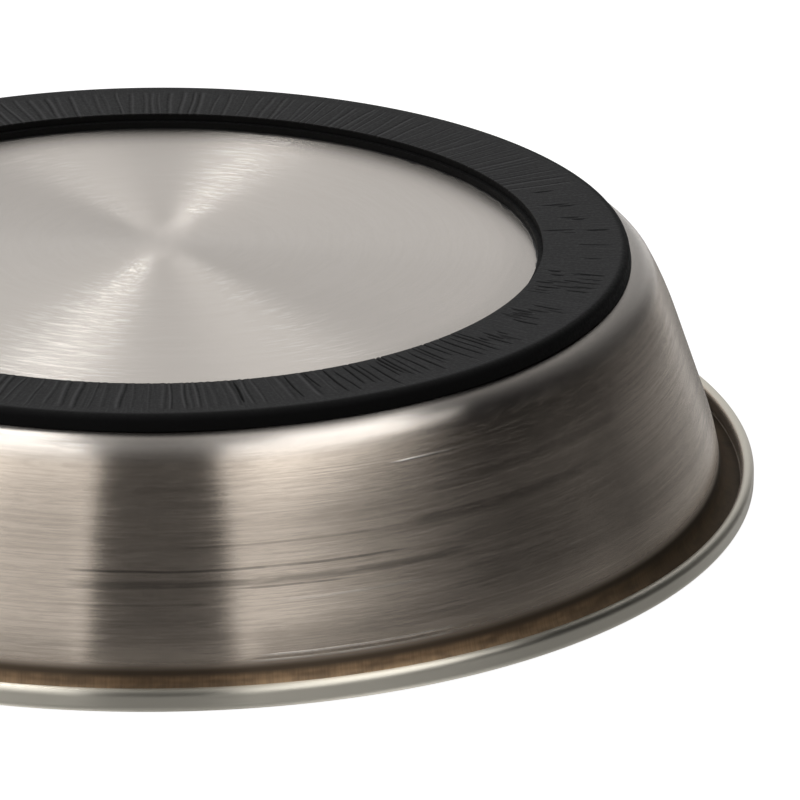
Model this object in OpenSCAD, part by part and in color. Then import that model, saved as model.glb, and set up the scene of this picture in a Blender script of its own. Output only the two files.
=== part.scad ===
// Pet food saucer: a pressed steel dish with a rolled rim, standing on a bonded rubber ring.
// The opening faces +Z, the ring's ground face lies on Z = 0 and the dish's axis is the Z axis.

/* [Dish] */
// Outside diameter over the rolled rim
rim_d = 140.5; // [110:0.5:200]
// Height of the dish, from the underside of its base to the top of its rim
dish_h = 27.4; // [22:0.1:45]
// Thickness of the steel sheet
sheet_t = 0.6; // [0.4:0.05:0.8]
// Outside radius of the bend between base and wall
base_bend_r = 4; // [2:0.1:8]
// Slope of the straight stretch of the wall, from the horizontal
wall_angle = 71; // [60:0.5:75]
// Outside radius of the rounded stretch just above the base bend
belly_r = 43; // [20:1:50]
// Degrees that the belly turns through
belly_turn = 9; // [2:0.5:12]
// Outside radius of the stretch where the wall steepens below the rim
shoulder_r = 37; // [20:1:50]
// Degrees that the shoulder turns through
shoulder_turn = 10.5; // [2:0.5:12]

/* [Rim] */
// Radius of the fillet between wall and flange, on its underside
rim_fillet_r = 1.9; // [0.6:0.1:3]
// Flat width of the flange between the fillet and the bead's bend
flange_w = 1.1; // [0.8:0.05:6]
// Inside radius of the bend that turns the flange down into the bead
bead_bend_r = 0.3; // [0.2:0.1:1]
// Height of the rolled bead, from its lowest edge to the top of the rim
bead_h = 2.7; // [2.4:0.1:5]
// Width of the hollow inside the roll
bead_gap = 0.3; // [0.2:0.05:1.5]
// Gap between the turned-in edge of the sheet and the flange above it
bead_edge_gap = 0.4; // [0.2:0.1:0.8]

/* [Base ring] */
// Thickness of the rubber ring
ring_t = 1.75; // [1.5:0.05:4]
// Width of the ring at its seat
ring_w = 10.9; // [6:0.1:20]
// How far the ring's outer edge stands past the flat of the base
ring_overhang = 0.5; // [0:0.1:0.6]
// Draft of the ring's outer side, from the vertical
ring_draft = 10; // [0:1:15]
// Radius of the ring's outer edge at the ground
ring_edge_r = 0.8; // [0.2:0.1:1]
// Width of the step in the ring's inner wall
ring_step_w = 0.6; // [0.3:0.1:2]
// Height of the step's ledge above the ground
ring_step_z = 0.95; // [0.4:0.05:1.3]

/* [Bond] */
// Thickness of the glue film between ring and base
bond_t = 0.15; // [0.1:0.05:0.3]
// How far the glue stops short of the ring's outer edge
bond_inset = 0.7; // [0.4:0.1:2]
// How far the glue shows past the ring's inner foot
bond_squeeze = 0.15; // [0:0.05:0.5]

/* [Hidden] */
$fn = 180;
// Largest distance between a bend and the short straight steps that draw it
bend_tolerance = 0.004;

// Horizontal run and vertical rise of a bend of radius r between two slopes
function bend_run(r, from, to) = r * (sin(to) - sin(from));
function bend_rise(r, from, to) = r * (cos(from) - cos(to));

// Slopes of the sheet where its stretches meet
belly_angle = wall_angle - belly_turn;
rim_angle = wall_angle + shoulder_turn;

// Length of the straight wall, which takes up the height that the bends leave
bends_rise = bend_rise(base_bend_r, 0, belly_angle)
    + bend_rise(belly_r, belly_angle, wall_angle)
    + bend_rise(shoulder_r, wall_angle, rim_angle)
    + bend_rise(rim_fillet_r, 0, rim_angle);
wall_l = (dish_h - sheet_t - bends_rise) / sin(wall_angle);

// Radius of the flat base, which takes up the width that wall and rim leave
wall_run = bend_run(base_bend_r, 0, belly_angle)
    + bend_run(belly_r, belly_angle, wall_angle)
    + wall_l * cos(wall_angle)
    + bend_run(shoulder_r, wall_angle, rim_angle)
    + bend_run(rim_fillet_r, 0, rim_angle);
base_r = rim_d / 2 - sheet_t - bead_bend_r - flange_w - wall_run;

// Rolled bead: its inside roll, its outer face and its turned-in edge
bead_roll_r = bead_gap / 2;
bead_roll_h = bead_roll_r + sheet_t;
bead_face_l = bead_h - sheet_t - bead_bend_r - bead_roll_h;
bead_edge_l = bead_h - sheet_t - bead_edge_gap - bead_roll_h;

// The sheet from the dish's axis to its turned-in edge: [length, 0] is a straight stretch and
// [radius, turn] a bend, upwards where turn is positive, with its radius on the sheet's lower face
dish_path = [
    [base_r, 0],
    [base_bend_r, belly_angle],
    [belly_r, belly_turn],
    [wall_l, 0],
    [shoulder_r, shoulder_turn],
    [rim_fillet_r, -rim_angle],
    [flange_w, 0],
    [bead_bend_r, -90],
    [bead_face_l, 0],
    [bead_roll_r, -180],
    [bead_edge_l, 0]
];

// Levels above the ground and radii of the ring's edges
base_z = ring_t + bond_t;
ring_outer_r = base_r + ring_overhang;
ring_seat_r = ring_outer_r - ring_w;
ring_face_r = ring_seat_r + ring_step_w;
// Centre of the rounded ground edge, set so that it runs into the ground face and the drafted side
ring_edge_x = ring_outer_r
    - (ring_edge_r + (ring_t - ring_edge_r) * sin(ring_draft)) / cos(ring_draft);

function ahead(heading) = [cos(heading), sin(heading)];
function leftward(heading) = [-sin(heading), cos(heading)];

// Steps that draw a bend of radius r within the tolerance
function bend_steps(r, turn) = ceil(abs(turn) / (2 * acos(1 - bend_tolerance / r)));

// Points where the steps of a stretch end, on the face that lies depth above the lower one
function stretch_points(stretch, depth, at, heading) =
    let (size = stretch[0], turn = stretch[1], steps = bend_steps(size + sheet_t, turn))
    turn == 0
        ? [at + size * ahead(heading) + depth * leftward(heading)]
        : [for (i = [1:steps])
            let (now = heading + turn * i / steps)
            at + sign(turn) * size * (leftward(heading) - leftward(now)) + depth * leftward(now)];

// One face of a sheet that follows a path, from the given point and heading on
function face_points(path, depth, i = 0, at = [0, 0], heading = 0) =
    i == len(path)
        ? []
        : let (lower = stretch_points(path[i], 0, at, heading))
          concat(
              stretch_points(path[i], depth, at, heading),
              face_points(path, depth, i + 1, lower[len(lower) - 1], heading + path[i][1])
          );

function reversed(list) = [for (i = [len(list) - 1:-1:0]) list[i]];

// Section of the sheet: out along its lower face and back along its upper one
module sheet_section(path) {
    lower_face = concat([[0, 0]], face_points(path, 0));
    upper_face = concat([[0, sheet_t]], face_points(path, sheet_t));
    polygon(concat(lower_face, reversed(upper_face)));
}

// Section of the rubber ring, ground face down
module ring_section() {
    edge_turn = 90 - ring_draft;
    edge_steps = bend_steps(ring_edge_r, edge_turn);
    ground_edge = [for (i = [0:edge_steps])
        [ring_edge_x, ring_edge_r] - ring_edge_r * leftward(edge_turn * i / edge_steps)];
    inner_wall = [
        [ring_outer_r, ring_t],
        [ring_seat_r, ring_t],
        [ring_seat_r, ring_step_z],
        [ring_face_r, ring_step_z],
        [ring_face_r, 0]
    ];
    polygon(concat(ground_edge, inner_wall));
}

// Pressed steel dish
module dish() {
    color("#b8b2aa")
    translate([0, 0, base_z])
    rotate_extrude()
    sheet_section(dish_path);
}

// Moulded rubber ring that the dish stands on
module base_ring() {
    color("#2c2c2d")
    rotate_extrude()
    ring_section();
}

// Film of glue between ring and base
module bond_film() {
    inner_r = ring_seat_r - bond_squeeze;
    outer_r = ring_outer_r - bond_inset;
    color("#141414")
    translate([0, 0, ring_t])
    rotate_extrude()
    translate([inner_r, 0])
    square([outer_r - inner_r, bond_t]);
}

dish();
base_ring();
bond_film();
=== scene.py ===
import math
import random

import bpy
import numpy as np
from mathutils import Matrix, Vector


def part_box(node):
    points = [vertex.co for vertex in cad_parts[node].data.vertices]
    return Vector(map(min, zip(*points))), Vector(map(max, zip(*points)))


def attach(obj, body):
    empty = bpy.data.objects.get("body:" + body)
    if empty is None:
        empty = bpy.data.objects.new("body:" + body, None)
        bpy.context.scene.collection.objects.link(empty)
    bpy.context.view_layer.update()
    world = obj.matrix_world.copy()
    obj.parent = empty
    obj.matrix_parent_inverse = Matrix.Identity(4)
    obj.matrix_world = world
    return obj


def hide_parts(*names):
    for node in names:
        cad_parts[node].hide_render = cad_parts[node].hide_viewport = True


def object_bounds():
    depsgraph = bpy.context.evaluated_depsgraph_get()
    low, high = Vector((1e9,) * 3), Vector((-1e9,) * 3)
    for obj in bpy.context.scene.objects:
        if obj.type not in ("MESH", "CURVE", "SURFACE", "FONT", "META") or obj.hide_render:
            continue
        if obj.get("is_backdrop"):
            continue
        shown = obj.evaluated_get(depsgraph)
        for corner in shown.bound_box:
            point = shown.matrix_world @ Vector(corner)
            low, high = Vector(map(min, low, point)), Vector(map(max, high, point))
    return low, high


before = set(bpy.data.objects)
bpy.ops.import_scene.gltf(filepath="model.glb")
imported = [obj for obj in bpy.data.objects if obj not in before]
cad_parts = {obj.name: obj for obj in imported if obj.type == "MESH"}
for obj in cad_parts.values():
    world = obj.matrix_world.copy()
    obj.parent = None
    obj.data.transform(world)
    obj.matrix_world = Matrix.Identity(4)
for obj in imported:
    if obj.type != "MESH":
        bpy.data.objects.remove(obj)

# Pet food saucer, dressed. The frame stands upright: opening towards +Z, rubber ring on Z = 0.
# The picture shows it upside down on its rim, so the main camera looks up at the base from below.
# Degrees round the saucer are the picture's: 0 towards the camera, 90 to the right.

cadLow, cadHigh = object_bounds()
mm = 0.001
degree = math.radians(1)
fullTurn = 2 * math.pi
rimZ = cadHigh.z            # the rim's top, which is what the upturned saucer lies on
_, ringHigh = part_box("base_ring")
filmLow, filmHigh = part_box("bond_film")
dishLow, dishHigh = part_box("dish")


# Modelling helpers

lathe = {
    "mergeDistance": 0.003 * mm,   # points closer than this become one
    "sharpAngle": 40,              # degrees from which an edge stays sharp
}


def deselectAll():
    if bpy.context.object and bpy.context.object.mode != "OBJECT":
        bpy.ops.object.mode_set(mode="OBJECT")
    bpy.ops.object.select_all(action="DESELECT")


def drawSection(name, points):
    # One vertex, pulled from point to point in the XZ plane
    deselectAll()
    startX, startZ = points[0]
    bpy.ops.mesh.primitive_plane_add(size=mm, location=(startX, 0, startZ))
    piece = bpy.context.object
    piece.name = name
    piece.data.name = name
    bpy.ops.object.transform_apply(location=True, rotation=True, scale=True)
    bpy.ops.object.mode_set(mode="EDIT")
    bpy.ops.mesh.select_all(action="SELECT")
    bpy.ops.mesh.merge(type="CENTER")
    for (x, z), (nextX, nextZ) in zip(points, points[1:]):
        step = {"value": (nextX - x, 0, nextZ - z)}
        bpy.ops.mesh.extrude_region_move(TRANSFORM_OT_translate=step)
    return piece


def turnSection(piece, steps):
    # Turns the section about Z, as on a lathe, and closes the seam and the pole
    bpy.ops.object.mode_set(mode="OBJECT")
    turn = piece.modifiers.new("turn", "SCREW")
    turn.axis = "Z"
    turn.angle = fullTurn
    turn.steps = steps
    turn.render_steps = steps
    bpy.ops.object.modifier_apply(modifier=turn.name)
    bpy.ops.object.mode_set(mode="EDIT")
    bpy.ops.mesh.select_all(action="SELECT")
    bpy.ops.mesh.remove_doubles(threshold=lathe["mergeDistance"])
    bpy.ops.mesh.normals_make_consistent(inside=False)
    bpy.ops.object.mode_set(mode="OBJECT")
    bpy.ops.object.shade_smooth_by_angle(angle=lathe["sharpAngle"] * degree)


def readPoints(piece):
    flat = np.zeros(len(piece.data.vertices) * 3, np.float32)
    piece.data.vertices.foreach_get("co", flat)
    return flat.reshape(-1, 3).astype(float)


def writePoints(piece, points):
    piece.data.vertices.foreach_set("co", points.astype(np.float32).ravel())
    piece.data.update()


def smoothStep(low, high, value):
    t = np.clip((value - low) / (high - low), 0, 1)
    return t * t * (3 - 2 * t)


def turnBetween(angle, other):
    # The shorter way round, in radians
    return np.remainder(angle - other + math.pi, fullTurn) - math.pi


def scaled(pair, unit):
    return tuple(value * unit for value in pair)


# Node helpers

noiseSpread = (0.3, 0.7)   # nearly all of a noise's values lie here
noiseMiddle = 0.5
noiseRoughness = 0.6


def newMaterial(name):
    material = bpy.data.materials.new(name)
    material.use_nodes = True
    tree = material.node_tree
    return material, tree, tree.nodes["Principled BSDF"]


def feed(tree, socket, value):
    if isinstance(value, bpy.types.NodeSocket):
        tree.links.new(value, socket)
    else:
        socket.default_value = value


def mathNode(tree, operation, first, second=0.0, clamp=False):
    node = tree.nodes.new("ShaderNodeMath")
    node.operation = operation
    node.use_clamp = clamp
    feed(tree, node.inputs[0], first)
    feed(tree, node.inputs[1], second)
    return node.outputs[0]


def multiply(tree, *factors):
    product = factors[0]
    for factor in factors[1:]:
        product = mathNode(tree, "MULTIPLY", product, factor)
    return product


def add(tree, *terms):
    total = terms[0]
    for term in terms[1:]:
        total = mathNode(tree, "ADD", total, term)
    return total


def restOf(tree, share):
    return mathNode(tree, "SUBTRACT", 1.0, share, clamp=True)


def distanceFrom(tree, value, middle):
    return mathNode(tree, "ABSOLUTE", mathNode(tree, "SUBTRACT", value, middle))


def vectorNode(tree, operation, first, second):
    node = tree.nodes.new("ShaderNodeVectorMath")
    node.operation = operation
    feed(tree, node.inputs[0], first)
    feed(tree, node.inputs[1], second)
    return node.outputs["Vector"]


def rangeNode(tree, value, fromLow, fromHigh, toLow=0.0, toHigh=1.0, smooth=True):
    node = tree.nodes.new("ShaderNodeMapRange")
    node.interpolation_type = "SMOOTHSTEP" if smooth else "LINEAR"
    feed(tree, node.inputs["Value"], value)
    limits = {"From Min": fromLow, "From Max": fromHigh, "To Min": toLow, "To Max": toHigh}
    for name, limit in limits.items():
        node.inputs[name].default_value = limit
    return node.outputs["Result"]


def rangeInMm(tree, value, ends, toLow=0.0, toHigh=1.0):
    return rangeNode(tree, value, *scaled(ends, mm), toLow, toHigh)


def noiseNode(tree, vector, scale, detail):
    node = tree.nodes.new("ShaderNodeTexNoise")
    feed(tree, node.inputs["Vector"], vector)
    feed(tree, node.inputs["Detail"], detail)
    node.inputs["Scale"].default_value = scale
    node.inputs["Roughness"].default_value = noiseRoughness
    return node.outputs["Fac"]


def mixColour(tree, share, first, second, blend="MIX"):
    node = tree.nodes.new("ShaderNodeMix")
    node.data_type = "RGBA"
    node.blend_type = blend
    feed(tree, node.inputs["Factor"], share)
    feed(tree, node.inputs["A"], first)
    feed(tree, node.inputs["B"], second)
    return node.outputs["Result"]


def bumpNode(tree, height, distance):
    node = tree.nodes.new("ShaderNodeBump")
    node.inputs["Strength"].default_value = 1.0
    node.inputs["Distance"].default_value = distance
    feed(tree, node.inputs["Height"], height)
    return node.outputs["Normal"]


def objectPlace(tree):
    return tree.nodes.new("ShaderNodeTexCoord").outputs["Object"]


def splitPlace(tree, vector):
    node = tree.nodes.new("ShaderNodeSeparateXYZ")
    feed(tree, node.inputs[0], vector)
    return node.outputs


def joinPlace(tree, *sides):
    node = tree.nodes.new("ShaderNodeCombineXYZ")
    for socket, side in zip(node.inputs, sides):
        feed(tree, socket, side)
    return node.outputs[0]


def roundPlace(tree, place):
    # Distance from the axis, and height
    node = tree.nodes.new("ShaderNodeVectorMath")
    node.operation = "LENGTH"
    feed(tree, node.inputs[0], vectorNode(tree, "MULTIPLY", place, (1, 1, 0)))
    return node.outputs["Value"], splitPlace(tree, place)["Z"]


def pictureAngle(tree, place):
    # Radians round the upturned saucer, 0 towards the camera and growing to the picture's right
    x, y, _ = splitPlace(tree, place)
    return mathNode(tree, "ARCTAN2", multiply(tree, x, -1.0), multiply(tree, y, -1.0))


# A pattern that follows the lathe: slow along the circle, quick across it, on any round piece.
# Streaks run into one another, strokes keep to separate lines.

turning = {
    "strokeStride": 1.37,       # step of the noise from one stroke to the next, far enough that they differ
    "leastRadius": 0.01 * mm,   # keeps the pattern whole on the axis
}


def turnedPatternGroup():
    group = bpy.data.node_groups.new("turnedPattern", "ShaderNodeTree")
    sockets = group.interface
    sockets.new_socket("Place", in_out="INPUT", socket_type="NodeSocketVector")
    for name in ("Around", "Across", "Detail"):
        sockets.new_socket(name, in_out="INPUT", socket_type="NodeSocketFloat")
    for name in ("Streaks", "Strokes"):
        sockets.new_socket(name, in_out="OUTPUT", socket_type="NodeSocketFloat")
    given = group.nodes.new("NodeGroupInput").outputs
    result = group.nodes.new("NodeGroupOutput").inputs
    x, y, z = splitPlace(group, given["Place"])
    radius = mathNode(group, "SQRT", add(group, multiply(group, x, x), multiply(group, y, y)))
    safeRadius = mathNode(group, "MAXIMUM", radius, turning["leastRadius"])
    circle = [multiply(group, mathNode(group, "DIVIDE", side, safeRadius), given["Around"])
              for side in (x, y)]
    level = multiply(group, add(group, radius, z), given["Across"])
    line = multiply(group, mathNode(group, "FLOOR", level), turning["strokeStride"])
    for name, third in (("Streaks", level), ("Strokes", line)):
        noise = noiseNode(group, joinPlace(group, *circle, third), 1.0, given["Detail"])
        feed(group, result[name], noise)
    return group


turnedPattern = turnedPatternGroup()


def placeTurned(tree, around, across, detail=2.0, place=None):
    node = tree.nodes.new("ShaderNodeGroup")
    node.node_tree = turnedPattern
    feed(tree, node.inputs["Place"], place or objectPlace(tree))
    node.inputs["Around"].default_value = around
    node.inputs["Across"].default_value = across
    node.inputs["Detail"].default_value = detail
    return node.outputs


# Dish: one sheet that follows a path of straight stretches and bends

dish = {
    "sheet": 0.6 * mm,
    "baseBend": 4 * mm,
    "wallAngle": 71,
    "belly": (43 * mm, 9),
    "shoulder": (37 * mm, 10.5),
    "rimFillet": 1.9 * mm,
    "flange": 1.1 * mm,
    "beadBend": 0.3 * mm,
    "beadTurn": 90,
    "beadHeight": 2.7 * mm,
    "beadGap": 0.3 * mm,
    "rollTurn": 180,
    "edgeGap": 0.4 * mm,
    "bendStep": 3.0,            # degrees between points on a tight bend
    "sweepStep": 0.75,          # degrees between points on a wide sweep
    "sweepFrom": 10 * mm,       # radius from which a bend is a sweep
    "rollStep": 9,              # degrees between points in the roll
    "supportWidth": 0.12 * mm,  # narrow strips that keep a straight stretch straight beside a bend
    "supportShare": 0.25,       # the most that a strip takes of a short stretch
    "turnSteps": 320,
}


def bendRun(radius, fromAngle, toAngle):
    return radius * (math.sin(toAngle * degree) - math.sin(fromAngle * degree))


def bendRise(radius, fromAngle, toAngle):
    return radius * (math.cos(fromAngle * degree) - math.cos(toAngle * degree))


def dishPath():
    # From the axis to the turned-in edge: a straight length and 0, or a bend's radius and its turn
    sheet = dish["sheet"]
    bellyRadius, bellyTurn = dish["belly"]
    shoulderRadius, shoulderTurn = dish["shoulder"]
    wall = dish["wallAngle"]
    bellyAngle = wall - bellyTurn
    rimAngle = wall + shoulderTurn
    bends = [(dish["baseBend"], 0, bellyAngle), (bellyRadius, bellyAngle, wall),
             (shoulderRadius, wall, rimAngle), (dish["rimFillet"], 0, rimAngle)]
    wallRise = dishHigh.z - dishLow.z - sheet - sum(bendRise(*bend) for bend in bends)
    wallLength = wallRise / math.sin(wall * degree)
    wallRun = sum(bendRun(*bend) for bend in bends) + wallLength * math.cos(wall * degree)
    baseRadius = dishHigh.x - sheet - dish["beadBend"] - dish["flange"] - wallRun
    roll = dish["beadGap"] / 2
    beadInside = dish["beadHeight"] - 2 * sheet - roll
    return [
        (baseRadius, 0),
        (dish["baseBend"], bellyAngle),
        (bellyRadius, bellyTurn),
        (wallLength, 0),
        (shoulderRadius, shoulderTurn),
        (dish["rimFillet"], -rimAngle),
        (dish["flange"], 0),
        (dish["beadBend"], -dish["beadTurn"]),
        (beadInside - dish["beadBend"], 0),
        (roll, -dish["rollTurn"]),
        (beadInside - dish["edgeGap"], 0),
    ]


def leftOf(heading):
    return Vector((-math.sin(heading * degree), math.cos(heading * degree)))


def aheadOf(heading):
    return Vector((math.cos(heading * degree), math.sin(heading * degree)))


def pointStep(radius, turn):
    if abs(turn) == dish["rollTurn"]:
        return dish["rollStep"]
    return dish["sweepStep"] if radius > dish["sweepFrom"] else dish["bendStep"]


def sheetSection(path, start):
    # Lower face outwards and upper face back, as one outline
    at = Vector(start)
    heading = 0.0
    lower = [at.copy()]
    upper = [at + dish["sheet"] * leftOf(heading)]
    for size, turn in path:
        if turn == 0:
            strip = min(dish["supportWidth"], size * dish["supportShare"])
            lengths = (strip, size - strip, size)
            steps = [(at + length * aheadOf(heading), heading) for length in lengths]
        else:
            count = math.ceil(abs(turn) / pointStep(size, turn))
            side = math.copysign(1, turn)
            centre = at + side * size * leftOf(heading)
            headings = [heading + turn * i / count for i in range(1, count + 1)]
            steps = [(centre - side * size * leftOf(now), now) for now in headings]
        for point, now in steps:
            lower.append(point)
            upper.append(point + dish["sheet"] * leftOf(now))
        heading += turn
        at = lower[-1].copy()
    return [tuple(point) for point in lower + upper[::-1]]


dishPiece = drawSection("steelDish", sheetSection(dishPath(), (0, dishLow.z)))
turnSection(dishPiece, dish["turnSteps"])
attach(dishPiece, "root")
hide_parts("dish")
print("dish turned:", len(dishPiece.data.polygons), "faces")


# Ring: moulded rubber with a stepped inner wall and radial creases in its ground face

ring = {
    "seatWidth": 10.9 * mm,
    "stepWidth": 0.6 * mm,
    "stepZ": 0.95 * mm,
    "toeRow": 1 / 3,           # share of the step's height, for a row of points low on the inner wall
    "draft": 10,
    "edgeRadius": 0.8 * mm,
    "edgeSteps": 4,
    "faceRows": 16,
    "turnSteps": 3600,
}


def ringSection():
    outer = ringHigh.x
    top = ringHigh.z
    edge = ring["edgeRadius"]
    seat = outer - ring["seatWidth"]
    inner = seat + ring["stepWidth"]
    stepZ = ring["stepZ"]
    draft = ring["draft"] * degree
    edgeX = outer - (edge + (top - edge) * math.sin(draft)) / math.cos(draft)
    rows = ring["faceRows"]
    points = [(inner + (edgeX - inner) * i / rows, 0) for i in range(rows + 1)]
    for i in range(1, ring["edgeSteps"] + 1):
        side = leftOf((90 - ring["draft"]) * i / ring["edgeSteps"])
        points.append((edgeX - edge * side.x, edge - edge * side.y))
    points += [(outer, top), (seat, top), (seat, stepZ), (inner, stepZ), (inner, stepZ * ring["toeRow"])]
    return points + points[:1], inner, edgeX


sectionPoints, faceInner, faceOuter = ringSection()
faceMiddle = (faceInner + faceOuter) / 2
ringPiece = drawSection("rubberRing", sectionPoints)
turnSection(ringPiece, ring["turnSteps"])
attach(ringPiece, "root")
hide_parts("base_ring")
print("ring turned:", len(ringPiece.data.polygons), "faces")

# Creases in the ground face, with painted highlight on ridges and lips and painted shade in grooves and
# slits. Pleats are soft ridges with a shallow groove beside them, across nearly the whole face. Tears are
# slits painted dark as shade: long ones from the inner edge, short ones in clusters further round.

creases = {
    "seed": 41,
    "bed": 0.05 * mm,            # how far the creased band lies in from the ground
    "deepest": 0.27 * mm,
    "border": 0.7 * mm,          # smooth width along the outer edge
    "touch": 0.001 * mm,         # what still counts as lying on the face
    "swayStep": 1.4 * mm,        # how soon a crease sways from side to side
    "sway": 0.06 * mm,
    "lean": 0.02,                # spread of the creases' slant
    "reach": 5,                  # widths to each side that a crease moves
    "beside": 1.9,               # widths from a pleat to its groove, or from a tear to its lip
    "endSpread": (-0.6, 0.3),    # mm between the outer ends and the border
    "tearSector": (12, 108),     # degrees round the saucer, as are the next two
    "shortFrom": 48,             # where the tears turn from long to short
    "blend": 12,                 # over which pleats give way to tears
    "breakChance": 0.16,         # of a wider gap after a short tear
    "breakGap": (2.0, 4.5),      # mm along the circle, as are the other gaps
}
# A crease's tone is painted highlight where above 0 and painted shade where below
creaseKinds = {
    "pleat": {"gap": (0.7, 1.9), "width": (0.10, 0.24), "depth": (0.02, 0.05), "length": (10.0, 12.0),
              "start": (-2.0, -1.0), "tone": (0.3, 0.95)},
    "longTear": {"gap": (0.6, 1.6), "width": (0.08, 0.15), "depth": (0.10, 0.30), "length": (5.0, 8.0),
                 "start": (-0.5, 1.0), "tone": (-1.0, -0.8)},
    "shortTear": {"gap": (0.25, 0.9), "width": (0.07, 0.15), "depth": (0.10, 0.34), "length": (1.3, 4.0),
                  "start": (0.4, 5.5), "tone": (-1.0, -0.8)},
}
pleatShape = {
    "taper": (0.85, 1.0),   # shares of the length between which it runs out
    "groove": 0.8,          # depth and painted shade of the groove, for a ridge of 1
    "grooveShadeTone": 0.6,
}
tearShape = {
    "taper": 0.6,           # below 1, a slit keeps its width for longer towards its ends
    "width": (0.45, 1.0),   # at the ends and in the middle
    "fullness": 1.6,
    "lip": 0.5,             # height of the lip beside it, as a share of the bed
    "lipHighlightTone": 0.4,
    "leastSlitShade": 0.5,       # painted shade of the shallowest tear
}


def tearShare(angle):
    low, high = creases["tearSector"]
    rise = smoothStep(low - creases["blend"], low + creases["blend"], angle)
    fall = 1 - smoothStep(high - creases["blend"], high + creases["blend"], angle)
    return float(rise * fall)


def listCreases():
    rng = random.Random(creases["seed"])
    outerEnd = faceOuter - creases["border"]
    found = []
    angle = -180.0
    while angle < 180:
        name = "pleat"
        if rng.random() < tearShare(angle):
            name = "longTear" if angle < creases["shortFrom"] else "shortTear"
        kind = creaseKinds[name]
        gap = rng.uniform(*kind["gap"])
        if name == "shortTear" and rng.random() < creases["breakChance"]:
            gap += rng.uniform(*creases["breakGap"])
        angle += math.degrees(gap * mm / faceMiddle)
        start = faceInner + rng.uniform(*kind["start"]) * mm
        fullEnd = start + rng.uniform(*kind["length"]) * mm
        end = min(fullEnd, outerEnd + rng.uniform(*creases["endSpread"]) * mm)
        found.append({
            "angle": angle * degree,
            "stretch": (start, end),
            "width": rng.uniform(*kind["width"]) * mm,
            "depth": rng.uniform(*kind["depth"]) * mm,
            "tone": rng.uniform(*kind["tone"]),
            "lean": rng.gauss(0, creases["lean"]),
            "wave": rng.uniform(0, fullTurn),
        })
    return found


def pleatAt(crease, across, along):
    # How much deeper the face is, and its painted highlight on the ridge and painted shade in the groove
    ridge = np.exp(-across ** 2)
    groove = np.exp(-(across - creases["beside"]) ** 2)
    taper = 1 - smoothStep(*pleatShape["taper"], along)
    deeper = -crease["depth"] * (ridge - pleatShape["groove"] * groove) * taper
    shade = crease["tone"] * (ridge - pleatShape["grooveShadeTone"] * groove) * taper
    return deeper, shade


def tearAt(crease, across, along):
    # The same for a slit, which is widest and deepest in its middle, painted dark as shade, with a painted
    # highlight on its lip
    lens = np.sin(math.pi * along) ** tearShape["taper"]
    narrow, wide = tearShape["width"]
    slit = np.exp(-(across / (narrow + (wide - narrow) * lens)) ** 2)
    slit *= np.minimum(lens * tearShape["fullness"], 1)
    lip = np.exp(-(across - creases["beside"]) ** 2) * lens
    strength = crease["depth"] / creases["deepest"]
    darkness = min(1.0, tearShape["leastSlitShade"] + strength)
    deeper = crease["depth"] * slit - tearShape["lip"] * creases["bed"] * lip
    shade = crease["tone"] * darkness * slit + tearShape["lipHighlightTone"] * strength * lip
    return deeper, shade


def pressCreases(piece):
    points = readPoints(piece)
    radius = np.hypot(points[:, 0], points[:, 1])
    face = (points[:, 2] < creases["touch"]) & (radius < faceOuter + creases["touch"])
    r = radius[face]
    angle = np.arctan2(-points[face, 0], -points[face, 1])
    depth = creases["bed"] * (1 - smoothStep(faceOuter - 2 * creases["border"], faceOuter, r))
    tone = np.zeros_like(depth)
    for crease in listCreases():
        start, end = crease["stretch"]
        sway = crease["lean"] * (r - faceMiddle)
        sway += creases["sway"] * np.sin((r - faceMiddle) / creases["swayStep"] + crease["wave"])
        offset = turnBetween(angle, crease["angle"]) * r - sway
        near = np.abs(offset) < creases["reach"] * crease["width"]
        across = offset[near] / crease["width"]
        along = np.clip((r[near] - start) / (end - start), 0, 1)
        shape = pleatAt if crease["tone"] > 0 else tearAt
        deeper, shade = shape(crease, across, along)
        depth[near] += deeper
        tone[near] += shade
    points[face, 2] = np.clip(depth, 0, creases["deepest"])
    writePoints(piece, points)
    # Each crease's painted highlight and shade, kept on the points for the rubber's colour
    allTones = np.zeros(len(points), np.float32)
    allTones[face] = np.clip(tone, -1, 1)
    piece.data.attributes.new("creasePaintedLight", "FLOAT", "POINT").data.foreach_set("value", allTones)


pressCreases(ringPiece)
print("creases pressed")


# Film of glue between ring and base, squeezed out unevenly along the ring's inner foot

film = {
    "width": 10.35 * mm,
    "turnSteps": 900,
    "seed": 5,
    "edgeBand": 0.01 * mm,          # what still counts as the inner edge
    "waves": (7, 17, 29, 53, 83),   # ripples round the inner edge
    "ripple": 0.03 * mm,
    "rippleShare": (0.4, 1),
    "drips": 12,
    "dripReach": (0.06, 0.3),       # mm
    "dripWidth": (0.4, 1.2),        # mm
}


def squeezeFilm(piece, innerRadius):
    rng = random.Random(film["seed"])
    points = readPoints(piece)
    radius = np.hypot(points[:, 0], points[:, 1])
    angle = np.arctan2(points[:, 1], points[:, 0])
    reach = np.zeros(len(points))
    for wave in film["waves"]:
        height = film["ripple"] * rng.uniform(*film["rippleShare"])
        reach += height * np.sin(wave * angle + rng.uniform(0, fullTurn))
    for _ in range(film["drips"]):
        place = rng.uniform(-math.pi, math.pi)
        width = rng.uniform(*film["dripWidth"]) * mm / innerRadius
        drip = np.exp(-(turnBetween(angle, place) / width) ** 2)
        reach += rng.uniform(*film["dripReach"]) * mm * drip
    edge = radius < innerRadius + film["edgeBand"]
    share = np.where(edge, 1 - reach / innerRadius, 1.0)
    points[:, 0] *= share
    points[:, 1] *= share
    writePoints(piece, points)


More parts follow.
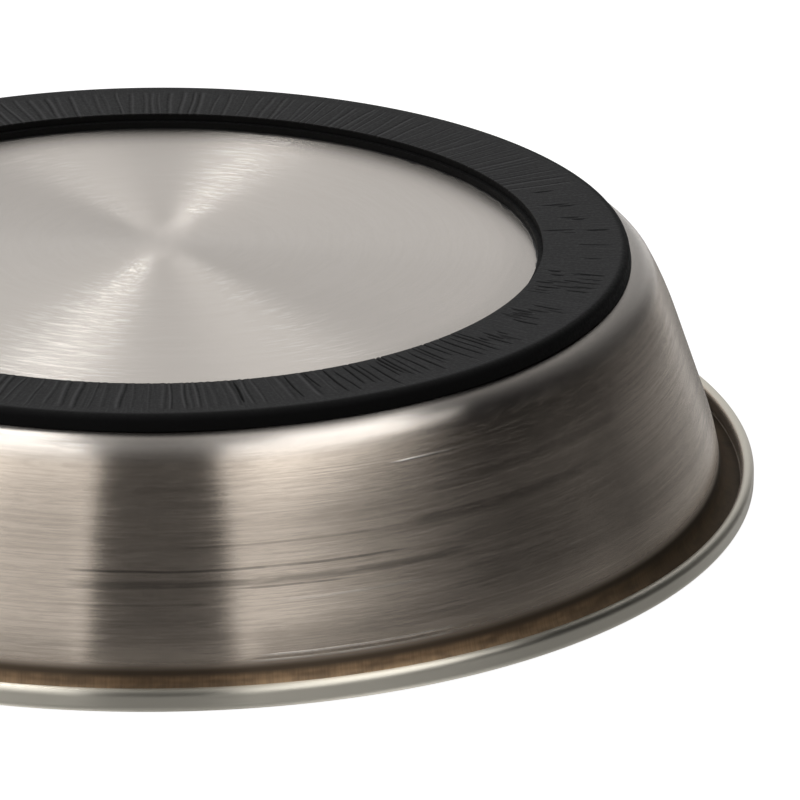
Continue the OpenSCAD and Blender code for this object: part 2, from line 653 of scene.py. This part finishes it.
filmInner = filmHigh.x - film["width"]
filmPoints = [
    (filmInner, filmLow.z),
    (filmHigh.x, filmLow.z),
    (filmHigh.x, filmHigh.z),
    (filmInner, filmHigh.z),
]
filmPiece = drawSection("glueFilm", filmPoints + filmPoints[:1])
turnSection(filmPiece, film["turnSteps"])
squeezeFilm(filmPiece, filmInner)
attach(filmPiece, "root")
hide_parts("bond_film")
print("film turned:", len(filmPiece.data.polygons), "faces")


# Steel, brushed round the axis. A pattern is given as how quickly it changes around and across, and
# where it matters its detail.

steel = {
    "light": (0.70, 0.65, 0.60, 1),
    "dark": (0.57, 0.525, 0.48, 1),
    "patternRange": (0.41, 0.58),        # of the layers' sum, from dark to light
    "wallTint": (1.0, 0.935, 0.86, 1),   # the wall is a little warmer than the base
    "wallStart": (2.4, 5.0),             # mm above the ground
    "outside": (-0.02, 0.1),             # how far up a face looks, from the outside to the inside
    "groove": (0.10, 0.088, 0.076, 1),
    "scratch": (0.98, 0.94, 0.88, 1),
    "roughness": 0.24,
    "specular": 0.02,
    "anisotropy": 1.0,
    "glossTurn": 0.25,             # of a turn, so that the gloss spreads across the strokes
    "calmColour": 0.12,            # how much of the wall's pattern the base and the bead show
    "calmRelief": 0.3,
    "liveliness": 0.8,             # how much of it the wall shows
    "relief": 0.007 * mm,
    "reliefStreaks": (5, 6000, 1.0),
    "scratchRelief": 2.5,          # height of a light scratch, in units of the relief
    "brushCentre": (-0.8, 5.2),    # mm: the base was brushed about a point beside the axis
    "centreBlur": (10, 14),        # mm: reach and scatter of the crossed strokes about that point
    "crossGrain": (38000, 47000),
    "wallSlant": 3.5 * mm,         # how far the wall's strokes climb or fall, over a length of one radius
    "slantGrain": (127, 127, 3760),   # how quickly that changes along X, Y and Z
    "footStart": (38.5, 44.5),     # mm from the axis: painted shade along the ring's foot begins here
    "footMiddle": (50, 52),        # mm from the axis: the ring's middle, where its outer side begins
    "footEnd": (2.0, 2.8),         # mm above the ground
    "footShade": (0.18, 0.5),      # strength of the painted shade on the ring's inner and outer side
    "bead": (0.695, 0.655, 0.565, 1),
    "beadStart": (68.8, 69.3),     # mm from the axis
    "beadRoughness": 0.08,         # added on the bead
    "haze": 0.06,                  # share of dull flecks on the wall, which show where it mirrors the dark
    "hazeFlecks": (18, 5600, 1.0),
    "hazeRange": (0.48, 0.66),
}
steelLayers = (
    {"kind": "Strokes", "around": 3, "across": 4200, "share": 0.4},    # long lines
    {"kind": "Strokes", "around": 26, "across": 5200, "share": 0.3},   # short flecks
    {"kind": "Streaks", "around": 0.9, "across": 620, "share": 0.3},   # wide faint bands
)

# Painted glints: bright flecks painted on the base, in the sectors where the brushing's highlight fans fall

baseGlintsPainted = {
    "strokes": (9, 3600, 1.0),
    "share": (0.48, 0.70),       # of the strokes, from none to a full fleck
    "start": (3, 9),             # mm from the brushing's centre
    "colour": (0.99, 0.95, 0.89, 1),
    # Middle and half width in degrees round the saucer, and strength
    "sectors": ((-20, 20, 0.5), (160, 17, 0.4), (28, 14, 0.2), (-152, 14, 0.15)),
}

# Lines that the brush left on the wall

marks = {
    "fade": 3.0,                 # degrees over which a mark runs out
    "edge": (0.4, 1.3),          # half widths between which it fades to its sides
    "wobble": 0.07 * mm,
    "wobbleStreaks": (5, 120),
    "patches": (14, 900),
    "patchRange": (0.3, 0.5),
    "patchShare": (0.45, 1.0),
}

# Height and half width in mm, tone below 0 where dark, and the degrees round the saucer that a line covers

wallMarks = (
    {"height": 15.4, "halfWidth": 0.15, "tone": -0.6, "span": (-10, 27)},
    {"height": 16.8, "halfWidth": 0.45, "tone": -0.45, "span": (-10, 34)},
    {"height": 17.4, "halfWidth": 0.12, "tone": -0.45, "span": (6, 20)},
    {"height": 12.9, "halfWidth": 0.14, "tone": -0.25, "span": (1, 24)},
    {"height": 18.9, "halfWidth": 0.12, "tone": -0.25, "span": (-12, 6)},
    {"height": 12.8, "halfWidth": 0.6, "tone": -0.35, "span": (26, 55)},
    {"height": 9.4, "halfWidth": 0.5, "tone": -0.25, "span": (34, 60)},
    {"height": 24.9, "halfWidth": 0.12, "tone": -0.45, "span": (7, 30)},
    {"height": 23.2, "halfWidth": 0.25, "tone": -0.2, "span": (-17, -7)},
    {"height": 18.9, "halfWidth": 0.14, "tone": 0.2, "span": (11, 28)},
    {"height": 24.6, "halfWidth": 0.12, "tone": 0.6, "span": (9, 31)},
    {"height": 25.2, "halfWidth": 0.12, "tone": 0.6, "span": (8, 31)},
    {"height": 6.35, "halfWidth": 0.10, "tone": 1.0, "span": (25, 34)},
)

# Stain in the channel under the rim, partly painted shade: brown stain below, a painted dark reflection of
# the shaded channel along its upper edge, and painted shade all over towards the right, the side turned
# away from the light

stainAndShade = {
    "brown": (0.45, 0.31, 0.185, 1),
    # dark: painted reflection of the shaded channel along the upper edge, and the stain's darker streaks
    "dark": (0.115, 0.088, 0.064, 1),
    # black: painted shade on the side turned away from the light
    "black": (0.030, 0.023, 0.016, 1),
    "blackShare": 0.9,
    "start": (24.6, 26.1),       # mm above the ground
    "brownStart": (26.2, 27.0),  # mm above the ground
    "end": (68.6, 68.95),        # mm from the axis
    "shadedSide": (28, 62),        # degrees round the saucer, over which painted shade darkens the side turned away from the light
    "matt": (0.45, 0.95),        # on the lighter side and on the dark side
    "roughness": 0.12,           # added where stained
    "streaks": (230, 120, 3.0),
    "streakShare": (0.7, 1.0),
    "patches": (17, 420),
    "patchRange": (0.32, 0.62),
    "patchShare": (0.45, 1.0),
}


def outsideShare(tree):
    # The outside of the dish looks down in the upright frame
    normal = tree.nodes.new("ShaderNodeTexCoord").outputs["Normal"]
    return rangeNode(tree, splitPlace(tree, normal)["Z"], *steel["outside"], 1, 0)


def brushPlace(tree, onWall):
    # Where the brush sees each point: about the axis on the wall, and about its own centre on the base
    centre = (*scaled(steel["brushCentre"], mm), 0)
    shift = vectorNode(tree, "MULTIPLY", restOf(tree, onWall), centre)
    return vectorNode(tree, "SUBTRACT", objectPlace(tree), shift)


def brushDirection(tree, place, onWall):
    # Along the circle, slanted a little on the wall, and in all directions where strokes cross on the base
    reach, scatter = scaled(steel["centreBlur"], mm)
    radius, _ = roundPlace(tree, place)
    blur = rangeNode(tree, radius, 0, reach, scatter, 0)
    shifts = []
    for grain in steel["crossGrain"]:
        crossed = mathNode(tree, "SUBTRACT", noiseNode(tree, place, grain, 0.0), noiseMiddle)
        shifts.append(multiply(tree, crossed, blur))
    shifted = vectorNode(tree, "ADD", place, joinPlace(tree, *shifts))
    along = vectorNode(tree, "CROSS_PRODUCT", (0, 0, 1), shifted)
    strokes = noiseNode(tree, vectorNode(tree, "MULTIPLY", place, steel["slantGrain"]), 1.0, 1.0)
    climb = rangeNode(tree, strokes, *noiseSpread, -steel["wallSlant"], steel["wallSlant"], smooth=False)
    return vectorNode(tree, "ADD", along, joinPlace(tree, 0, 0, multiply(tree, climb, onWall)))


def brushedColour(tree, place, lively):
    # From dark to light steel, and calmer on the base and the bead
    layers = []
    for layer in steelLayers:
        drawn = placeTurned(tree, layer["around"], layer["across"], place=place)[layer["kind"]]
        layers.append(multiply(tree, drawn, layer["share"]))
    swing = rangeNode(tree, add(tree, *layers), *steel["patternRange"], -0.5, 0.5)
    share = rangeNode(tree, lively, 0, 1, steel["calmColour"], steel["liveliness"], smooth=False)
    return mixColour(tree, add(tree, multiply(tree, swing, share), 0.5), steel["dark"], steel["light"])


def paintBaseGlints(tree, colour, place, onWall):
    strokes = placeTurned(tree, *baseGlintsPainted["strokes"], place)["Strokes"]
    radius, _ = roundPlace(tree, place)
    angle = pictureAngle(tree, place)
    glints = []
    for middle, halfWidth, strength in baseGlintsPainted["sectors"]:
        away = distanceFrom(tree, angle, middle * degree)
        glints.append(rangeNode(tree, away, 0, halfWidth * degree, strength, 0))
    share = multiply(tree, add(tree, *glints), rangeNode(tree, strokes, *baseGlintsPainted["share"]),
                     rangeInMm(tree, radius, baseGlintsPainted["start"]), restOf(tree, onWall))
    # Painted highlight: near-white colour only where the base's glints fall
    return mixColour(tree, share, colour, baseGlintsPainted["colour"])


def drawMarks(tree, colour, height, angle, outside):
    # The colour with the wall's marks in it, and how far its light scratches stand up
    streaks = placeTurned(tree, *marks["wobbleStreaks"])["Streaks"]
    wobble = rangeNode(tree, streaks, *noiseSpread, -marks["wobble"], marks["wobble"], smooth=False)
    level = add(tree, height, wobble)
    patches = placeTurned(tree, *marks["patches"])["Streaks"]
    patchy = rangeNode(tree, patches, *marks["patchRange"], *marks["patchShare"])
    fade = marks["fade"] * degree
    scratches = []
    for mark in wallMarks:
        low, high = scaled(mark["span"], degree)
        away = distanceFrom(tree, level, mark["height"] * mm)
        edge = scaled(marks["edge"], mark["halfWidth"] * mm)
        share = multiply(tree, patchy, outside,
                         rangeNode(tree, away, *edge, abs(mark["tone"]), 0),
                         rangeNode(tree, angle, low, low + fade),
                         rangeNode(tree, angle, high - fade, high, 1, 0))
        if mark["tone"] > 0:
            scratches.append(share)
        colour = mixColour(tree, share, colour, steel["scratch"] if mark["tone"] > 0 else steel["groove"])
    return colour, add(tree, *scratches)


def stainAndShadeColour(tree, height, sideShadeShare):
    # Brown stain, with painted dark reflection along its upper edge and painted shade on the side away from
    # the light
    streaks = placeTurned(tree, *stainAndShade["streaks"])["Streaks"]
    patches = placeTurned(tree, *stainAndShade["patches"])["Streaks"]
    tone = multiply(tree, rangeNode(tree, streaks, *noiseSpread, *stainAndShade["streakShare"]),
                    rangeNode(tree, patches, *stainAndShade["patchRange"], *stainAndShade["patchShare"]),
                    rangeInMm(tree, height, stainAndShade["brownStart"]))
    colour = mixColour(tree, tone, stainAndShade["dark"], stainAndShade["brown"])
    return mixColour(tree, multiply(tree, sideShadeShare, stainAndShade["blackShare"]), colour, stainAndShade["black"])


def makeSteel():
    material, tree, shader = newMaterial("brushedSteel")
    radius, height = roundPlace(tree, objectPlace(tree))
    angle = pictureAngle(tree, objectPlace(tree))
    outside = outsideShare(tree)
    onWall = rangeInMm(tree, height, steel["wallStart"])
    onBead = rangeInMm(tree, radius, steel["beadStart"])
    lively = multiply(tree, onWall, restOf(tree, onBead))
    place = brushPlace(tree, onWall)
    # Colour of the brushing with painted glints on the base, the wall, the bead and painted shade along the
    # ring's foot, and then the marks and the stain with its painted shade
    colour = brushedColour(tree, place, lively)
    colour = paintBaseGlints(tree, colour, place, onWall)
    colour = mixColour(tree, onWall, colour, steel["wallTint"], "MULTIPLY")
    colour = mixColour(tree, onBead, colour, steel["bead"])
    # Painted shade along the ring's foot, inside and outside, where the ring shades the steel
    footShadeShare = multiply(tree, outside, rangeInMm(tree, radius, steel["footStart"]),
                      rangeInMm(tree, radius, steel["footMiddle"], *steel["footShade"]),
                      rangeInMm(tree, height, steel["footEnd"], 1, 0))
    colour = mixColour(tree, footShadeShare, colour, steel["groove"])
    colour, raised = drawMarks(tree, colour, height, angle, outside)
    stainedAndShaded = multiply(tree, outside, rangeInMm(tree, height, stainAndShade["start"]),
                       rangeInMm(tree, radius, stainAndShade["end"], 1, 0))
    # Painted shade: the stain turns nearly black on the side away from the light
    sideShadeShare = rangeNode(tree, angle, *scaled(stainAndShade["shadedSide"], degree))
    colour = mixColour(tree, stainedAndShaded, colour, stainAndShadeColour(tree, height, sideShadeShare))
    feed(tree, shader.inputs["Base Color"], colour)
    # Gloss along the strokes, dull in the stain and in fine flecks on the wall
    matt = multiply(tree, stainedAndShaded, rangeNode(tree, sideShadeShare, 0, 1, *stainAndShade["matt"], smooth=False))
    flecks = placeTurned(tree, *steel["hazeFlecks"], place)["Strokes"]
    haze = multiply(tree, rangeNode(tree, flecks, *steel["hazeRange"], 0, steel["haze"]), lively)
    feed(tree, shader.inputs["Metallic"], restOf(tree, add(tree, matt, haze)))
    stainRough = multiply(tree, stainedAndShaded, stainAndShade["roughness"])
    beadRough = multiply(tree, onBead, steel["beadRoughness"])
    feed(tree, shader.inputs["Roughness"], add(tree, stainRough, beadRough, steel["roughness"]))
    shader.inputs["Specular IOR Level"].default_value = steel["specular"]
    shader.inputs["Anisotropic"].default_value = steel["anisotropy"]
    shader.inputs["Anisotropic Rotation"].default_value = steel["glossTurn"]
    feed(tree, shader.inputs["Tangent"], brushDirection(tree, place, onWall))
    # Relief of the brushing and the light scratches
    streaks = placeTurned(tree, *steel["reliefStreaks"], place)["Streaks"]
    calm = rangeNode(tree, lively, 0, 1, steel["calmRelief"], 1.0, smooth=False)
    relief = add(tree, multiply(tree, streaks, calm), multiply(tree, raised, steel["scratchRelief"]))
    feed(tree, shader.inputs["Normal"], bumpNode(tree, relief, steel["relief"]))
    return material


# Rubber of the ring and the glue under it. A shade gives the range of what drives it, then of its share.

rubber = {
    # side: the same rubber as the face, painted darker as painted shade on the faces turned from the light
    "side": (0.005, 0.005, 0.005, 1),
    "face": (0.023, 0.023, 0.0233, 1),
    # ridge: lighter rubber for the grain, and painted highlight on the creases' ridges and lips; groove:
    # painted shade in grooves and slits
    "ridge": (0.055, 0.054, 0.055, 1),
    "groove": (0.001, 0.001, 0.001, 1),
    "faceDepth": (0.06, 0.24),   # mm in from the ground, where the paler face gives way to the side's painted shade
    "faceEnd": (0.35, -0.15),    # mm inside the start of the rounded edge, where it does so too
    "grain": (2600, 3.0),        # scale and detail
    "radialGrain": (170, 260, 3.0),
    "radialShade": (0.45, 0.8, 0, 0.3),
    "grainShade": (0.55, 0.8, 0, 0.15),
    "ridgePaintedHighlight": (0.0, 0.9, 0, 0.8),
    "groovePaintedShade": (0.0, -0.7, 0, 1),
    "roughness": (0.54, 0.70),
    "specular": 0.06,
    "relief": 0.05 * mm,
    "grainRelief": 0.35,         # height of the grain, for a radial grain of 1
}
glue = {
    "colour": (0.006, 0.006, 0.006, 1),
    "blot": (0.016, 0.016, 0.016, 1),
    "blots": (900, 3.0),         # scale and detail
    "blotRange": (0.35, 0.7),
    "roughness": (0.32, 0.57),
    "relief": 0.04 * mm,
}


def makeRubber():
    material, tree, shader = newMaterial("creasedRubber")
    place = objectPlace(tree)
    attribute = tree.nodes.new("ShaderNodeAttribute")
    attribute.attribute_name = "creasePaintedLight"
    tone = attribute.outputs["Fac"]
    grain = noiseNode(tree, place, *rubber["grain"])
    radialGrain = placeTurned(tree, *rubber["radialGrain"])["Streaks"]
    radius, height = roundPlace(tree, place)
    faceStop, sideStart = (faceOuter - inset * mm for inset in rubber["faceEnd"])
    faceNotShadedSide = multiply(tree, rangeInMm(tree, height, rubber["faceDepth"], 1, 0),
                      rangeNode(tree, radius, faceStop, sideStart, 1, 0))
    radialShade = multiply(tree, rangeNode(tree, radialGrain, *rubber["radialShade"]), faceNotShadedSide)
    grainShade = multiply(tree, rangeNode(tree, grain, *rubber["grainShade"]), faceNotShadedSide)
    # Painted highlight on ridges and lips, and painted shade in grooves and slits
    ridgePaintedHighlight = rangeNode(tree, tone, *rubber["ridgePaintedHighlight"])
    # Painted shade: every face but the ground face gets the darker side colour
    colour = mixColour(tree, faceNotShadedSide, rubber["side"], rubber["face"])
    for share in (radialShade, grainShade, ridgePaintedHighlight):
        colour = mixColour(tree, share, colour, rubber["ridge"])
    colour = mixColour(tree, rangeNode(tree, tone, *rubber["groovePaintedShade"]), colour, rubber["groove"])
    feed(tree, shader.inputs["Base Color"], colour)
    feed(tree, shader.inputs["Roughness"], rangeNode(tree, grain, *noiseSpread, *rubber["roughness"]))
    shader.inputs["Specular IOR Level"].default_value = rubber["specular"]
    relief = add(tree, multiply(tree, grain, rubber["grainRelief"]), multiply(tree, radialGrain, faceNotShadedSide))
    feed(tree, shader.inputs["Normal"], bumpNode(tree, relief, rubber["relief"]))
    return material


def makeGlue():
    material, tree, shader = newMaterial("curedGlue")
    blots = noiseNode(tree, objectPlace(tree), *glue["blots"])
    colour = mixColour(tree, rangeNode(tree, blots, *glue["blotRange"]), glue["colour"], glue["blot"])
    feed(tree, shader.inputs["Base Color"], colour)
    feed(tree, shader.inputs["Roughness"], rangeNode(tree, blots, *noiseSpread, *glue["roughness"]))
    feed(tree, shader.inputs["Normal"], bumpNode(tree, blots, glue["relief"]))
    return material


for piece, material in ((dishPiece, makeSteel()), (ringPiece, makeRubber()), (filmPiece, makeGlue())):
    piece.data.materials.clear()
    piece.data.materials.append(material)
print("materials set")


# Camera, at the picture's place. Angles are those of the upturned saucer on its floor.

shot = {
    "elevation": 21.9935,
    "distance": 944.26 * mm,   # from the point on the floor below the saucer's axis
    "pan": 1.869,
    "tilt": 21.4617,
    "roll": -0.2093,
    "lens": 360,
    "sensor": 36,
}


def fromPicture(vector):
    # A direction of the upturned saucer, in the upright frame: half a turn about Y
    return Vector((-vector[0], vector[1], -vector[2]))


def makeCamera():
    elevation, pan, tilt, roll = (shot[name] * degree for name in ("elevation", "pan", "tilt", "roll"))
    back = Vector((0, -math.cos(elevation), math.sin(elevation)))
    forward = Vector((math.sin(pan) * math.cos(tilt), math.cos(pan) * math.cos(tilt), -math.sin(tilt)))
    right = forward.cross(Vector((0, 0, 1))).normalized()
    down = forward.cross(right)
    rolledRight = math.cos(roll) * right + math.sin(roll) * down
    rolledDown = -math.sin(roll) * right + math.cos(roll) * down
    place = Vector((0, 0, rimZ)) + shot["distance"] * fromPicture(back)
    axes = (fromPicture(rolledRight), -fromPicture(rolledDown), -fromPicture(forward), place)
    data = bpy.data.cameras.new("pictureCamera")
    data.lens = shot["lens"]
    data.sensor_width = shot["sensor"]
    camera = bpy.data.objects.new("pictureCamera", data)
    bpy.context.scene.collection.objects.link(camera)
    camera.matrix_world = Matrix([[axis[row] for axis in axes] for row in range(3)] + [[0, 0, 0, 1]])
    bpy.context.scene.camera = camera


makeCamera()


# Shaders of the floors and the studio's panels

def emptyMaterial(name):
    material = bpy.data.materials.new(name)
    material.use_nodes = True
    material.node_tree.nodes.clear()
    return material, material.node_tree


def glowShader(tree, strength):
    node = tree.nodes.new("ShaderNodeEmission")
    node.inputs["Strength"].default_value = strength
    return node.outputs[0]


def clearShader(tree):
    return tree.nodes.new("ShaderNodeBsdfTransparent").outputs[0]


def showMix(tree, share, first, second):
    # Puts a mix of two shaders on the surface
    mix = tree.nodes.new("ShaderNodeMixShader")
    for socket, value in zip(mix.inputs, (share, first, second)):
        tree.links.new(value, socket)
    output = tree.nodes.new("ShaderNodeOutputMaterial")
    tree.links.new(mix.outputs[0], output.inputs["Surface"])


# Floors: one under the rim for the upturned saucer, one under the ring for the upright one.
# Each shows only from its own side, and neither throws a shadow or a reflection on the saucer.

floors = {"radius": 4.0, "sides": 96, "glow": 0.92, "colour": (0.3, 0.3, 0.3, 1)}


def floorMaterial(name):
    material, tree = emptyMaterial(name)
    paper = tree.nodes.new("ShaderNodeBsdfDiffuse")
    paper.inputs["Color"].default_value = floors["colour"]
    both = tree.nodes.new("ShaderNodeAddShader")
    tree.links.new(glowShader(tree, floors["glow"]), both.inputs[0])
    tree.links.new(paper.outputs[0], both.inputs[1])
    back = tree.nodes.new("ShaderNodeNewGeometry").outputs["Backfacing"]
    showMix(tree, back, both.outputs[0], clearShader(tree))
    return material


def makeFloor(name, z, facingDown):
    deselectAll()
    bpy.ops.mesh.primitive_circle_add(vertices=floors["sides"], radius=floors["radius"],
                                      fill_type="NGON", location=(0, 0, z))
    floor = bpy.context.object
    floor.name = name
    if facingDown:
        floor.rotation_euler = (math.pi, 0, 0)
    floor.data.materials.append(floorMaterial(name))
    floor.visible_shadow = False
    floor.visible_glossy = False
    floor.visible_diffuse = False
    floor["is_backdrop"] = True


makeFloor("floorUnderRim", rimZ, True)
makeFloor("floorUnderRing", 0, False)


# Studio: curved panels round the saucer, seen by the steel and by no camera. Bright ones are softboxes
# that also light the rest, dark ones are flags. Azimuth is in degrees round the saucer, elevation is
# above the upturned saucer's floor, and level 1 is white. A bottom or top of two numbers slopes from left
# to right. An edge is as soft as the feather in degrees, or as its own number under soft. A flared panel
# is wider at its bottom by that much on each side.

studio = {
    "softboxDistance": 3.0,
    "flagDistance": 2.4,
    "panelGap": 0.02,          # between one panel and the next behind it
    "columns": 24,
    "rows": 12,
    "fill": 0.12,              # the world's level for diffuse light
    "white": 1.0,              # and for what sees it
}
softboxes = (
    {"name": "leftSoftbox", "azimuth": (-140, -30), "bottom": 20, "top": 76, "level": 1.4, "feather": 9},
    {"name": "leftOverhead", "azimuth": (-165, -14), "bottom": (54, 46), "top": 80, "level": 1.85,
     "feather": 5, "soft": {"left": 60, "right": 20}},
    {"name": "backLeftLamp", "azimuth": (-168, -156), "bottom": 53, "top": 70, "level": 13, "feather": 4},
    {"name": "rightSoftbox", "azimuth": (16, 80), "bottom": (14, 44), "top": 74, "level": 1.75,
     "feather": 5, "soft": {"left": 14}},
    {"name": "rightOverhead", "azimuth": (70, 158), "bottom": (50, 62), "top": 80, "level": 1.9,
     "feather": 5},
    {"name": "backRightLamp", "azimuth": (134, 148), "bottom": 56, "top": 68, "level": 4, "feather": 5},
    {"name": "backOverhead", "azimuth": (166, 194), "bottom": 40, "top": 68, "level": 1.25, "feather": 6},
    {"name": "uprightSoftbox", "azimuth": (68, 292), "bottom": -88, "top": -62, "level": 1.5, "feather": 5},
)
flags = (
    {"name": "cameraFlag", "azimuth": (-11.4, 12.2), "bottom": -6, "top": 78, "level": 0.02,
     "feather": 1.0, "soft": {"top": 50}, "flare": 4},
    {"name": "ceilingFlag", "azimuth": (-40, 40), "bottom": 36, "top": 89, "level": 0.22,
     "feather": 10, "flare": -26},
    {"name": "rightStrip", "azimuth": (13, 19.5), "bottom": -12, "top": 24, "level": 0.66, "feather": 1.5},
    {"name": "capFlag", "azimuth": (-180, 180), "bottom": 75, "top": 90, "level": 0.25,
     "feather": 3, "soft": {"top": 0.01}},
    {"name": "zenithFlag", "azimuth": (166, 194), "bottom": 66, "top": 89, "level": 0.18, "feather": 5},
    {"name": "leftSheet", "azimuth": (-34, -13), "bottom": 12, "top": 46, "level": 0.95, "feather": 4},
    {"name": "leftLowFlag", "azimuth": (-38, -13), "bottom": -12, "top": 16, "level": 0.22, "feather": 6},
    {"name": "leftWall", "azimuth": (-135, -34), "bottom": -12, "top": 22, "level": 0.8, "feather": 5},
    {"name": "rightFrontFlag", "azimuth": (13, 52), "bottom": -16, "top": (7, 33), "level": 0.05,
     "feather": 3},
    {"name": "rightSideFlag", "azimuth": (46, 132), "bottom": -14, "top": (30, 64), "level": 0.005,
     "feather": 3, "soft": {"right": 30, "bottom": 18}},
    {"name": "rightRearFlag", "azimuth": (94, 166), "bottom": -18, "top": (66, 58), "level": 0.06,
     "feather": 16, "soft": {"right": 28, "bottom": 18, "top": 6}},
    {"name": "backCentre", "azimuth": (164, 196), "bottom": -12, "top": 40, "level": 0.69, "feather": 8},
    {"name": "backWall", "azimuth": (134, 190), "bottom": -12, "top": 36, "level": 0.6, "feather": 12},
    {"name": "backLeftWall", "azimuth": (-176, -130), "bottom": -12, "top": 30, "level": 0.85,
     "feather": 6},
    {"name": "lowFront", "azimuth": (-75, 62), "bottom": -86, "top": -6, "level": 0.32, "feather": 4},
    {"name": "lowRight", "azimuth": (52, 150), "bottom": -60, "top": 0, "level": 0.34,
     "feather": 9, "soft": {"right": 40}},
    {"name": "lowBackRight", "azimuth": (108, 168), "bottom": -60, "top": 2, "level": 0.5, "feather": 20},
    {"name": "lowBack", "azimuth": (152, 192), "bottom": -84, "top": -8, "level": 0.08, "feather": 6},
    {"name": "lowLeft", "azimuth": (-185, -72), "bottom": -60, "top": -6, "level": 0.6, "feather": 6},
)


def bothEnds(edge):
    return edge if isinstance(edge, tuple) else (edge, edge)


def panelMaterial(panel):
    material, tree = emptyMaterial(panel["name"])
    place = splitPlace(tree, tree.nodes.new("ShaderNodeTexCoord").outputs["UV"])
    low, high = panel["azimuth"]
    spans = (high - low, max(bothEnds(panel["top"])) - max(bothEnds(panel["bottom"])))
    shares = []
    for axis, span, sides in zip(("X", "Y"), spans, (("left", "right"), ("bottom", "top"))):
        for start, inward, side in zip((0, 1), (1, -1), sides):
            edge = min(panel.get("soft", {}).get(side, panel["feather"]) / span, 1)
            shares.append(rangeNode(tree, place[axis], start, start + inward * edge))
    showMix(tree, multiply(tree, *shares), clearShader(tree), glowShader(tree, panel["level"]))
    return material


def makePanel(panel, distance, isFlag):
    deselectAll()
    bpy.ops.mesh.primitive_grid_add(x_subdivisions=studio["columns"], y_subdivisions=studio["rows"], size=1)
    piece = bpy.context.object
    piece.name = panel["name"]
    along, up, _ = (readPoints(piece) + 0.5).T     # from 0 to 1 over the grid
    low, high = panel["azimuth"]
    flare = panel.get("flare", 0) * (1 - up)
    azimuth = np.radians(low - flare + (high - low + 2 * flare) * along)
    bottom = np.interp(along, (0, 1), bothEnds(panel["bottom"]))
    top = np.interp(along, (0, 1), bothEnds(panel["top"]))
    elevation = np.radians(bottom + (top - bottom) * up)
    # Turned over as fromPicture does
    x = -np.sin(azimuth) * np.cos(elevation)
    y = -np.cos(azimuth) * np.cos(elevation)
    z = -np.sin(elevation)
    writePoints(piece, distance * np.stack((x, y, z), 1))
    piece.data.materials.append(panelMaterial(panel))
    piece.visible_camera = False
    piece.visible_transmission = False
    piece.visible_shadow = False
    if isFlag:
        piece.visible_diffuse = False
    piece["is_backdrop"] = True


for order, panel in enumerate(softboxes):
    makePanel(panel, studio["softboxDistance"] - order * studio["panelGap"], False)
for order, panel in enumerate(flags):
    makePanel(panel, studio["flagDistance"] + order * studio["panelGap"], True)


def makeWorld():
    world = bpy.data.worlds.new("studio")
    bpy.context.scene.world = world
    world.use_nodes = True
    tree = world.node_tree
    background = tree.nodes["Background"]
    rays = tree.nodes.new("ShaderNodeLightPath").outputs
    mirrored = mathNode(tree, "MAXIMUM", rays["Is Glossy Ray"], rays["Is Transmission Ray"])
    seen = mathNode(tree, "MAXIMUM", rays["Is Camera Ray"], mirrored)
    level = rangeNode(tree, seen, 0, 1, studio["fill"], studio["white"], smooth=False)
    background.inputs["Color"].default_value = (1, 1, 1, 1)
    feed(tree, background.inputs["Strength"], level)


makeWorld()
print("studio lit")
bpy.context.scene.view_settings.view_transform = "Standard"

low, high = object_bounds()
for name, size in (("cad", cadHigh - cadLow), ("visual", high - low)):
    print("size in mm,", name, [round(side / mm, 2) for side in size])
